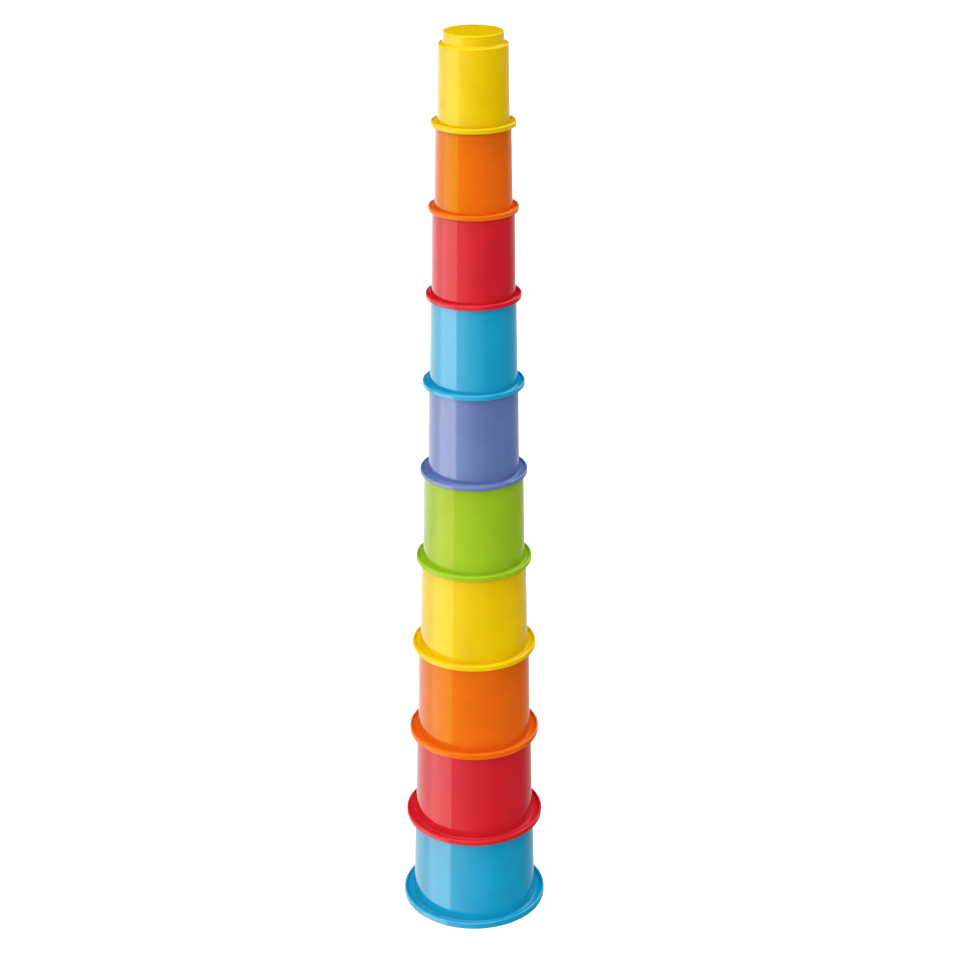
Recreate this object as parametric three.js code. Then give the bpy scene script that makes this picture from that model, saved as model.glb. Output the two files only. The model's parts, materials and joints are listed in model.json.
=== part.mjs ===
// Stacking cup tower: ten one-piece cups of moulded plastic, each standing mouth down on the
// shoulder of the larger cup below it, with that cup's foot inside its mouth.
// Millimetres, +Z up, origin on the table under the tower's axis.

import * as THREE from 'three';

// The cups, largest first. rise is the height a cup adds to the tower, up to its shoulder.
// The diameters are outside ones: of the rim, of the wall at its low end, by the rim, and of the
// wall at its high end, by the shoulder. lip is the height of the rim's upturned lip.
const CUPS = [
  { name: 'cup_01_blue', colour: 'blue', rise: 60.5, rim: 91, wallLow: 78.5, wallHigh: 75.5, lip: 4.2 },
  { name: 'cup_02_red', colour: 'red', rise: 60.5, rim: 86.5, wallLow: 74.5, wallHigh: 72, lip: 3.6 },
  { name: 'cup_03_orange', colour: 'orange', rise: 60.5, rim: 81, wallLow: 70.5, wallHigh: 68.5, lip: 3.8 },
  { name: 'cup_04_yellow', colour: 'yellow', rise: 59, rim: 76.5, wallLow: 66.5, wallHigh: 64, lip: 3.3 },
  { name: 'cup_05_green', colour: 'green', rise: 57.5, rim: 70.5, wallLow: 62, wallHigh: 60, lip: 3.1 },
  { name: 'cup_06_purple', colour: 'purple', rise: 56, rim: 64.5, wallLow: 54.5, wallHigh: 53, lip: 2.8 },
  { name: 'cup_07_blue', colour: 'blue', rise: 54, rim: 60.5, wallLow: 52, wallHigh: 50, lip: 3 },
  { name: 'cup_08_red', colour: 'red', rise: 52, rim: 56, wallLow: 49, wallHigh: 47.5, lip: 3 },
  { name: 'cup_09_orange', colour: 'orange', rise: 49, rim: 52, wallLow: 45, wallHigh: 43, lip: 2.9 },
  { name: 'cup_10_yellow', colour: 'yellow', rise: 46.5, rim: 48.5, wallLow: 41, wallHigh: 39.5, lip: 2.9 },
];

const COLOURS = {
  blue: 0x2fa4d4,
  red: 0xd32838,
  orange: 0xea6b1b,
  yellow: 0xf0c60c,
  green: 0xa2c826,
  purple: 0x7485ba,
};

const WALL = 1.4; // thickness of the plastic
const SIDES = 32; // flats around a cup
const SEAT_GAP = 0.2; // air between a mouth and the shoulder that it stands on
const FOOT_HEIGHT = 6.4;
const FOOT_PLAY = 0.6; // radial air between a foot and the mouth around it
const FOOT_DRAFT = 0.3; // how much wider a foot is at its root
const LAST_FOOT = 34; // diameter of the smallest cup's foot, which carries nothing
const SHOULDER_ROUND = 1;
const EDGE_ROUND = 0.5;

function mouthRadius(cup) {
  return cup.wallLow / 2 - WALL;
}

// A foot fits inside the mouth of the next smaller cup.
function footRadius(index) {
  const next = CUPS[index + 1];
  return next ? mouthRadius(next) - FOOT_PLAY - FOOT_DRAFT : LAST_FOOT / 2;
}

// Half of a cup's section as [radius, height] points: up the inside from the axis, then over the
// mouth and the rim, and up the outside back to the axis.
function cupOutline(cup, foot) {
  const mouth = mouthRadius(cup);
  const rim = cup.rim / 2;
  const lipInside = rim - WALL;
  const wallLow = cup.wallLow / 2;
  const wallHigh = cup.wallHigh / 2;
  const shoulder = cup.rise - SEAT_GAP;
  const top = shoulder + FOOT_HEIGHT;
  return [
    [0, top - WALL],
    [foot - WALL, top - WALL],
    [foot + FOOT_DRAFT - WALL, shoulder - WALL],
    [wallHigh - WALL, shoulder - WALL],
    [mouth, 0],
    [rim - EDGE_ROUND, 0],
    [rim, EDGE_ROUND],
    [rim, cup.lip - EDGE_ROUND],
    [rim - EDGE_ROUND, cup.lip],
    [lipInside, cup.lip],
    [lipInside, WALL],
    [wallLow, WALL],
    [wallHigh, shoulder - SHOULDER_ROUND],
    [wallHigh - SHOULDER_ROUND, shoulder],
    [foot + FOOT_DRAFT, shoulder],
    [foot, top - EDGE_ROUND],
    [foot - EDGE_ROUND, top],
    [0, top],
  ];
}

function makeCup(cup, foot) {
  const points = cupOutline(cup, foot).map(([radius, height]) => new THREE.Vector2(radius, height));
  const geometry = new THREE.LatheGeometry(points, SIDES);
  geometry.rotateX(Math.PI / 2);
  const material = new THREE.MeshStandardMaterial({
    color: COLOURS[cup.colour],
    roughness: 0.25,
    metalness: 0,
  });
  const mesh = new THREE.Mesh(geometry, material);
  mesh.name = cup.name;
  return mesh;
}

const tower = new THREE.Group();
let seat = 0;
CUPS.forEach((cup, index) => {
  const mesh = makeCup(cup, footRadius(index));
  mesh.position.z = seat;
  tower.add(mesh);
  seat += cup.rise;
});

export default tower;
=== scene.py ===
import json
import math

import bpy
from mathutils import Matrix, Vector


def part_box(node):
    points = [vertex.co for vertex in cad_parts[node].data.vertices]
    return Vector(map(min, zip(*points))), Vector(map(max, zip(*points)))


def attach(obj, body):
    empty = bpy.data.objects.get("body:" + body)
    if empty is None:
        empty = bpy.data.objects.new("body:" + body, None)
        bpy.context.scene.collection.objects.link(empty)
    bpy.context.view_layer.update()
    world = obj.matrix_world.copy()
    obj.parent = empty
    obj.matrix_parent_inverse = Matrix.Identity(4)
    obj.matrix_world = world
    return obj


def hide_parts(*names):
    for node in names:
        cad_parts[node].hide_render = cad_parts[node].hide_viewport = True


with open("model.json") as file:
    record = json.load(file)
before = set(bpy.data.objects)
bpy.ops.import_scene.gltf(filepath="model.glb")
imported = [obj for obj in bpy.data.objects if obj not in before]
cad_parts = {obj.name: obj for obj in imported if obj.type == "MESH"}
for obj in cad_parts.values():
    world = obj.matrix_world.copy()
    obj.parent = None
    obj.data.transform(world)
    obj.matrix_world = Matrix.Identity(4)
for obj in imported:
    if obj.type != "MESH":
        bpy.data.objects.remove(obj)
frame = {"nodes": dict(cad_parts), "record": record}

# A tower of ten moulded plastic cups. The frame gives every size that shows; the constants below
# are the roundings and the small moulding details that the frame's plain solids leave out.
# Lengths inside a cup's outline are in millimetres, everything else is in metres.

MM = 0.001

# Shared with the frame's cups: the plastic's thickness, the foot and the bevels.
WALL = 1.4
FOOT_HEIGHT = 6.4
FOOT_DRAFT = 0.3
SHOULDER_BEVEL = 1.0
EDGE_BEVEL = 0.5

# The gate mark: a shallow dimple in the middle of the closed face.
GATE_RADIUS = 1.2
GATE_DEPTH = 0.12

# The radius that rounds each corner of a cup's section, down the outside and up the inside.
ROUND_GATE = 1.5
ROUND_FOOT_EDGE = 0.6
ROUND_FOOT_ROOT = 0.8
ROUND_SHOULDER = 0.9
ROUND_WALL_ROOT = 1.1
ROUND_LIP_ROOT = 0.35
ROUND_LIP_INSIDE = 0.3
ROUND_LIP_OUTSIDE = 1.0
ROUND_RIM = 0.35
ROUND_MOUTH = 0.5
ROUND_INNER_SHOULDER = 1.0
ROUND_INNER_ROOT = 0.5
ROUND_INNER_FOOT = 0.9

# How finely a cup is turned and its arcs are cut, and how far beside each arc the guard points lie.
SIDES = 128
ARC_STEP = math.radians(15)
FLAT_GUARD = 0.3

# Two corners of the frame's section share a height, or a radius, if they are closer than this.
SAME_PLACE = 0.05

# Each plastic's pigment, the tint of its gloss where it is seen face on, and the gloss's level.
PLASTICS = {
    "plastic_blue": ((0.008, 0.350, 0.585), (0.85, 1.0, 0.98), 0.56),
    "plastic_red": ((0.625, 0.015, 0.026), (0.75, 0.42, 0.42), 0.42),
    "plastic_orange": ((0.780, 0.134, 0.006), (0.30, 1.0, 0.0), 0.32),
    "plastic_yellow": ((0.800, 0.540, 0.002), (0.50, 1.0, 0.35), 0.36),
    "plastic_green": ((0.312, 0.515, 0.016), (1.0, 0.65, 0.20), 0.38),
    "plastic_purple": ((0.124, 0.185, 0.435), (0.95, 0.95, 1.0), 0.58),
}

# What all the plastics share: their refraction, and how far light spreads inside them.
PLASTIC_BODY = {
    "IOR": 1.49,
    "Subsurface Weight": 0.3,
    "Subsurface Radius": (1, 1, 1),
    "Subsurface Scale": 0.0012,
}

# The deepest and the palest tone of the pigment's swirls.
DEEP_TONE = 0.93
PALE_TONE = 1.04

# How much roughness the smears give, and how much the scuffs add to it.
SMEAR_ROUGHNESS = (0.03, 0.07)
SCUFF_ROUGHNESS = (0.0, 0.10)

# The noise that the scuffs follow, across and along the cup's axis, in steps to the metre.
SCUFF_SCALE = (900, 900, 45)

# The surface's bumps as (noise scale, noise detail, strength, height in metres): a broad
# shrinkage ripple, and a fine skin over it.
RELIEF = ((70.0, 1.0, 0.3, 0.00008), (1400.0, 2.0, 0.25, 0.00001))

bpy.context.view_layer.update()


# ---- shapes ----


def section(node):
    """The corners of a CAD cup's section as (radius, height above its mouth), in millimetres."""
    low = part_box(node)[0][2]
    corners = set()
    for vertex in frame["nodes"][node].data.vertices:
        x, y, z = vertex.co
        corners.add((round(math.hypot(x, y) / MM, 2), round((z - low) / MM, 2)))
    return corners


def radii_at(corners, height):
    """The radii of the section's corners at that height, smallest first."""
    return sorted(radius for radius, z in corners if abs(z - height) < SAME_PLACE)


def heights_at(corners, radius):
    """The heights of the section's corners at that radius, lowest first."""
    return sorted(z for r, z in corners if abs(r - radius) < SAME_PLACE)


def cup_outline(node):
    """Half of a cup's section as (radius, height, rounding): down the outside and up the inside."""
    corners = section(node)
    top = max(z for _, z in corners)
    shoulder = top - FOOT_HEIGHT
    rim = max(r for r, _ in corners)
    lip_inside = rim - WALL
    lip = heights_at(corners, lip_inside)[-1]
    mouth = radii_at(corners, 0)[0]
    wall_low = mouth + WALL
    wall_high = radii_at(corners, shoulder - SHOULDER_BEVEL)[-1]
    foot = radii_at(corners, top)[-1] + EDGE_BEVEL
    foot_root = foot + FOOT_DRAFT
    return [
        (0, top - GATE_DEPTH, 0),
        (GATE_RADIUS / 2, top - GATE_DEPTH, ROUND_GATE),
        (GATE_RADIUS, top, ROUND_GATE),
        (foot, top, ROUND_FOOT_EDGE),
        (foot_root, shoulder, ROUND_FOOT_ROOT),
        (wall_high, shoulder, ROUND_SHOULDER),
        (wall_low, WALL, ROUND_WALL_ROOT),
        (lip_inside, WALL, ROUND_LIP_ROOT),
        (lip_inside, lip, ROUND_LIP_INSIDE),
        (rim, lip, ROUND_LIP_OUTSIDE),
        (rim, 0, ROUND_RIM),
        (mouth, 0, ROUND_MOUTH),
        (wall_high - WALL, shoulder - WALL, ROUND_INNER_SHOULDER),
        (foot_root - WALL, shoulder - WALL, ROUND_INNER_ROOT),
        (foot - WALL, top - WALL, ROUND_INNER_FOOT),
        (0, top - WALL, 0),
    ]


def corner_arc(before, corner, after, rounding):
    """The points of the arc that rounds a corner off."""
    arriving = (corner - before).normalized()
    leaving = (after - corner).normalized()
    turn = math.atan2(arriving.x * leaving.y - arriving.y * leaving.x, arriving.dot(leaving))
    reach = rounding * math.tan(abs(turn) / 2)
    start = corner - arriving * reach
    inward = Vector((-arriving.y, arriving.x)) * math.copysign(1, turn)
    centre = start + inward * rounding
    steps = max(2, math.ceil(abs(turn) / ARC_STEP))
    return [
        centre + Matrix.Rotation(turn * step / steps, 2) @ (start - centre)
        for step in range(steps + 1)
    ]


def rounded(outline):
    """The outline with its corners rounded. Guard points beside each arc keep the flats flat."""
    runs = [[Vector(outline[0][:2])]]
    for before, corner, after in zip(outline, outline[1:], outline[2:]):
        places = (Vector(before[:2]), Vector(corner[:2]), Vector(after[:2]))
        runs.append(corner_arc(*places, corner[2]))
    runs.append([Vector(outline[-1][:2])])
    points = list(runs[0])
    for run in runs[1:]:
        gap = run[0] - points[-1]
        if gap.length > 3 * FLAT_GUARD:
            guard = gap.normalized() * FLAT_GUARD
            points += [points[-1] + guard, run[0] - guard]
        points += run
    return points


def lathe(name, outline, low):
    """A closed solid turned about the Z axis from an outline whose two ends lie on the axis."""
    rings = outline[1:-1]
    vertices = []
    faces = []
    for step in range(SIDES):
        turn = math.tau * step / SIDES
        for point in rings:
            radius = point.x * MM
            vertices.append((radius * math.cos(turn), radius * math.sin(turn), low + point.y * MM))
    first = len(vertices)
    last = first + 1
    vertices.append((0, 0, low + outline[0].y * MM))
    vertices.append((0, 0, low + outline[-1].y * MM))
    for step in range(SIDES):
        here = step * len(rings)
        there = (step + 1) % SIDES * len(rings)
        faces.append((first, here, there))
        for place in range(len(rings) - 1):
            faces.append((here + place, here + place + 1, there + place + 1, there + place))
        end = len(rings) - 1
        faces.append((last, there + end, here + end))
    mesh = bpy.data.meshes.new(name)
    mesh.from_pydata(vertices, [], faces)
    for polygon in mesh.polygons:
        polygon.use_smooth = True
    mesh.update()
    cup = bpy.data.objects.new(name, mesh)
    bpy.context.scene.collection.objects.link(cup)
    return cup


# ---- shader nodes ----

# Where a mix node keeps its colour sockets.
MIX_COLOUR_A = 6
MIX_COLOUR_B = 7
MIX_COLOUR_RESULT = 2


def add(tree, kind, **values):
    """A new node, with each value on its socket, or on its setting where it has no such socket."""
    node = tree.nodes.new(kind)
    for name, value in values.items():
        socket = node.inputs.get(name.replace("_", " "))
        if socket is None:
            setattr(node, name, value)
        else:
            socket.default_value = value
    return node


def calculate(tree, operation, *values):
    """A maths node's result. Each value is a socket or a number."""
    node = add(tree, "ShaderNodeMath", operation=operation)
    for socket, value in zip(node.inputs, values):
        if isinstance(value, bpy.types.NodeSocket):
            tree.links.new(value, socket)
        else:
            socket.default_value = value
    return node.outputs["Value"]


def blend(tree, factor, first, second):
    """The first value where the factor is 0, the second where it is 1."""
    rest = calculate(tree, "SUBTRACT", 1, factor)
    return calculate(
        tree,
        "ADD",
        calculate(tree, "MULTIPLY", first, rest),
        calculate(tree, "MULTIPLY", second, factor),
    )


def scaled(tree, source, given, wanted):
    """The source, mapped from one (low, high) range to another and held at its ends."""
    ranger = add(
        tree,
        "ShaderNodeMapRange",
        From_Min=given[0],
        From_Max=given[1],
        To_Min=wanted[0],
        To_Max=wanted[1],
    )
    tree.links.new(source, ranger.inputs["Value"])
    return ranger.outputs["Result"]


def noise(tree, place, **values):
    """The level of a noise at that place."""
    node = add(tree, "ShaderNodeTexNoise", **values)
    tree.links.new(place, node.inputs["Vector"])
    return node.outputs["Fac"]


def profile(tree, angle, low, high, stops):
    """The level that the stops give at that angle, which runs from low to high degrees."""
    place = scaled(tree, angle, (math.radians(low), math.radians(high)), (0, 1))
    ramp = add(tree, "ShaderNodeValToRGB")
    tree.links.new(place, ramp.inputs["Fac"])
    elements = ramp.color_ramp.elements
    while len(elements) < len(stops):
        elements.new(1)
    for element, (degrees, level) in zip(elements, stops):
        element.position = (degrees - low) / (high - low)
        element.color = (level, level, level, 1)
    return ramp.outputs["Color"]


# ---- plastics ----


def pigment(tree, place, colour):
    """The plastic's colour, in soft swirls of a slightly deeper and a slightly paler tone."""
    swirl = noise(tree, place, Scale=26.0, Detail=3.0, Distortion=0.6)
    mix = add(tree, "ShaderNodeMix", data_type="RGBA")
    tree.links.new(scaled(tree, swirl, (0.35, 0.65), (0, 1)), mix.inputs["Factor"])
    for socket, tone in ((MIX_COLOUR_A, DEEP_TONE), (MIX_COLOUR_B, PALE_TONE)):
        mix.inputs[socket].default_value = [min(1, channel * tone) for channel in colour] + [1]
    return mix.outputs[MIX_COLOUR_RESULT]


def handling(tree, place):
    """The roughness: smears some centimetres across, and fine scuffs that run up and down."""
    smear = noise(tree, place, Scale=55.0, Detail=4.0)
    along = add(tree, "ShaderNodeMapping", Scale=SCUFF_SCALE)
    tree.links.new(place, along.inputs["Vector"])
    scuff = noise(tree, along.outputs["Vector"], Scale=1.0, Detail=2.0)
    smeared = scaled(tree, smear, (0.3, 0.7), SMEAR_ROUGHNESS)
    scuffed = scaled(tree, scuff, (0.62, 0.8), SCUFF_ROUGHNESS)
    return calculate(tree, "ADD", smeared, scuffed)


def relief(tree, place):
    """The surface's normal, with each of its bumps laid over the last."""
    normal = None
    for scale, detail, strength, height in RELIEF:
        bump = add(tree, "ShaderNodeBump", Strength=strength, Distance=height)
        tree.links.new(noise(tree, place, Scale=scale, Detail=detail), bump.inputs["Height"])
        if normal is not None:
            tree.links.new(normal, bump.inputs["Normal"])
        normal = bump.outputs["Normal"]
    return normal


def plastic(name, colour, gloss_tint, gloss_level):
    """Glossy moulded plastic: pigment that varies a little, a faint ripple and light scuffs."""
    material = bpy.data.materials.new(name)
    material.use_nodes = True
    tree = material.node_tree
    shader = tree.nodes["Principled BSDF"]
    for socket, value in PLASTIC_BODY.items():
        shader.inputs[socket].default_value = value
    shader.inputs["Specular IOR Level"].default_value = gloss_level
    shader.inputs["Specular Tint"].default_value = gloss_tint + (1,)
    place = add(tree, "ShaderNodeTexCoord").outputs["Object"]
    tree.links.new(pigment(tree, place, colour), shader.inputs["Base Color"])
    tree.links.new(handling(tree, place), shader.inputs["Roughness"])
    tree.links.new(relief(tree, place), shader.inputs["Normal"])
    return material


def make_cups():
    """Each CAD cup's smooth, rounded stand-in, riding on the body that its node belongs to."""
    slots = {entry["node"]: entry["material_slot"] for entry in frame["record"]["subparts"]}
    plastics = {slot: plastic(slot, *looks) for slot, looks in PLASTICS.items()}
    for body, nodes in frame["record"]["behaviour"]["bodies"].items():
        for node in nodes:
            cup = lathe("moulded_" + node, rounded(cup_outline(node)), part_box(node)[0][2])
            cup.data.materials.append(plastics[slots[node]])
            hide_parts(node)
            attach(cup, body)


# ---- studio ----

FLOOR_SIZE = 60.0

# The floor is pale paper with a light behind it, which throws less than that back at the cups.
FLOOR_SEEN = 0.93
FLOOR_GLOW = 0.3
FLOOR_BOUNCE = 0.5
FLOOR_ROUGHNESS = 0.8

# The studio is a dome of light. Each light has a radiance and levels by angle, in degrees: heights
# are above the horizon, and round the tower the angles are counted to the left from straight
# towards the camera.

# The main light, broad and soft at the front left, with a weaker one behind at the right.
SKY_RADIANCE = 3.15
SKY_HEIGHT = ((0, 0.4), (10, 0.4), (20, 1), (48, 1), (56, 0))
SKY_ROUND = (
    (-165, 0),
    (-140, 0.65),
    (-80, 0.10),
    (-60, 0.03),
    (-30, 0.30),
    (10, 1),
    (40, 0.90),
    (100, 0.19),
    (130, 0),
)

# A light overhead, and one high up behind.
TOP_RADIANCE = 3.4
TOP_HEIGHT = ((58, 0), (68, 1))
BACK_RADIANCE = 1.8
BACK_HEIGHT = ((38, 0), (44, 1), (58, 1), (64, 0))
BACK_ROUND = ((-150, 1), (-110, 0), (110, 0), (150, 1))

# What the cups mirror from below the horizon: a bright screen at the left, with a sharp edge at
# its front, that fades behind.
SCREEN_RADIANCE = 6.4
SCREEN_HEIGHT = ((-32, 0.72), (-16, 1))
SCREEN_ROUND = (
    (-180, 0.17),
    (-110, 0.02),
    (-40, 0.01),
    (0, 0.12),
    (45, 0.38),
    (47, 0.92),
    (88, 0.80),
    (104, 0.40),
    (140, 0.30),
    (180, 0.17),
)

# What the camera sees of the dome.
BACKDROP_RADIANCE = 1.1


def make_floor():
    """A plain pale floor. The cups mirror the dome's lower half in its place."""
    material = bpy.data.materials.new("floor_paper")
    material.use_nodes = True
    tree = material.node_tree
    shader = tree.nodes["Principled BSDF"]
    seen = add(tree, "ShaderNodeLightPath").outputs["Is Camera Ray"]
    glow = calculate(tree, "MULTIPLY", seen, FLOOR_GLOW)
    tree.links.new(blend(tree, seen, FLOOR_BOUNCE, FLOOR_SEEN), shader.inputs["Base Color"])
    tree.links.new(glow, shader.inputs["Emission Strength"])
    shader.inputs["Emission Color"].default_value = (1, 1, 1, 1)
    shader.inputs["Roughness"].default_value = FLOOR_ROUGHNESS
    shader.inputs["Specular IOR Level"].default_value = 0.0

    half = FLOOR_SIZE / 2
    corners = [(-half, -half, 0), (half, -half, 0), (half, half, 0), (-half, half, 0)]
    mesh = bpy.data.meshes.new("floor")
    mesh.from_pydata(corners, [], [(0, 1, 2, 3)])
    mesh.materials.append(material)
    floor = bpy.data.objects.new("floor", mesh)
    floor.visible_glossy = False
    bpy.context.scene.collection.objects.link(floor)


def light(tree, radiance, height, height_stops, around=None, round_stops=()):
    """What one light gives in each direction. Without an angle round the tower it is a ring."""
    level = profile(tree, height, -90, 90, height_stops)
    if around is not None:
        level = calculate(tree, "MULTIPLY", profile(tree, around, -180, 180, round_stops), level)
    return calculate(tree, "MULTIPLY", level, radiance)


def make_dome():
    """The world: a broad soft light from above the horizon, and what the walls mirror below it."""
    world = bpy.data.worlds.new("studio")
    world.use_nodes = True
    bpy.context.scene.world = world
    tree = world.node_tree
    background = tree.nodes["Background"]
    background.inputs["Color"].default_value = (1, 1, 1, 1)
    direction = add(tree, "ShaderNodeSeparateXYZ")
    tree.links.new(add(tree, "ShaderNodeTexCoord").outputs["Generated"], direction.inputs["Vector"])
    left = calculate(tree, "MULTIPLY", direction.outputs["X"], -1)
    ahead = calculate(tree, "MULTIPLY", direction.outputs["Y"], -1)
    around = calculate(tree, "ARCTAN2", left, ahead)
    height = calculate(tree, "ARCSINE", direction.outputs["Z"])

    sky = light(tree, SKY_RADIANCE, height, SKY_HEIGHT, around, SKY_ROUND)
    top = light(tree, TOP_RADIANCE, height, TOP_HEIGHT)
    back = light(tree, BACK_RADIANCE, height, BACK_HEIGHT, around, BACK_ROUND)
    above = calculate(tree, "ADD", calculate(tree, "ADD", sky, top), back)
    below = light(tree, SCREEN_RADIANCE, height, SCREEN_HEIGHT, around, SCREEN_ROUND)
    is_above = calculate(tree, "GREATER_THAN", direction.outputs["Z"], 0)
    dome = blend(tree, is_above, below, above)
    seen = add(tree, "ShaderNodeLightPath").outputs["Is Camera Ray"]
    tree.links.new(blend(tree, seen, dome, BACKDROP_RADIANCE), background.inputs["Strength"])


# ---- camera ----

CAMERA_DISTANCE = 1.17
CAMERA_HEIGHT = 0.796
CAMERA_SIDEWAYS = 0.0037
CAMERA_DOWN = math.radians(23.32)
SENSOR = 36.0
LENS = 79.4


def aim_camera():
    """The camera, in front of the tower and above it."""
    data = bpy.data.cameras.new("camera")
    data.sensor_width = SENSOR
    data.lens = LENS
    camera = bpy.data.objects.new("camera", data)
    camera.location = (CAMERA_SIDEWAYS, -CAMERA_DISTANCE, CAMERA_HEIGHT)
    camera.rotation_euler = (math.pi / 2 - CAMERA_DOWN, 0, 0)
    bpy.context.scene.collection.objects.link(camera)
    bpy.context.scene.camera = camera


aim_camera()
make_cups()
make_floor()
make_dome()
bpy.context.scene.view_settings.view_transform = "Standard"
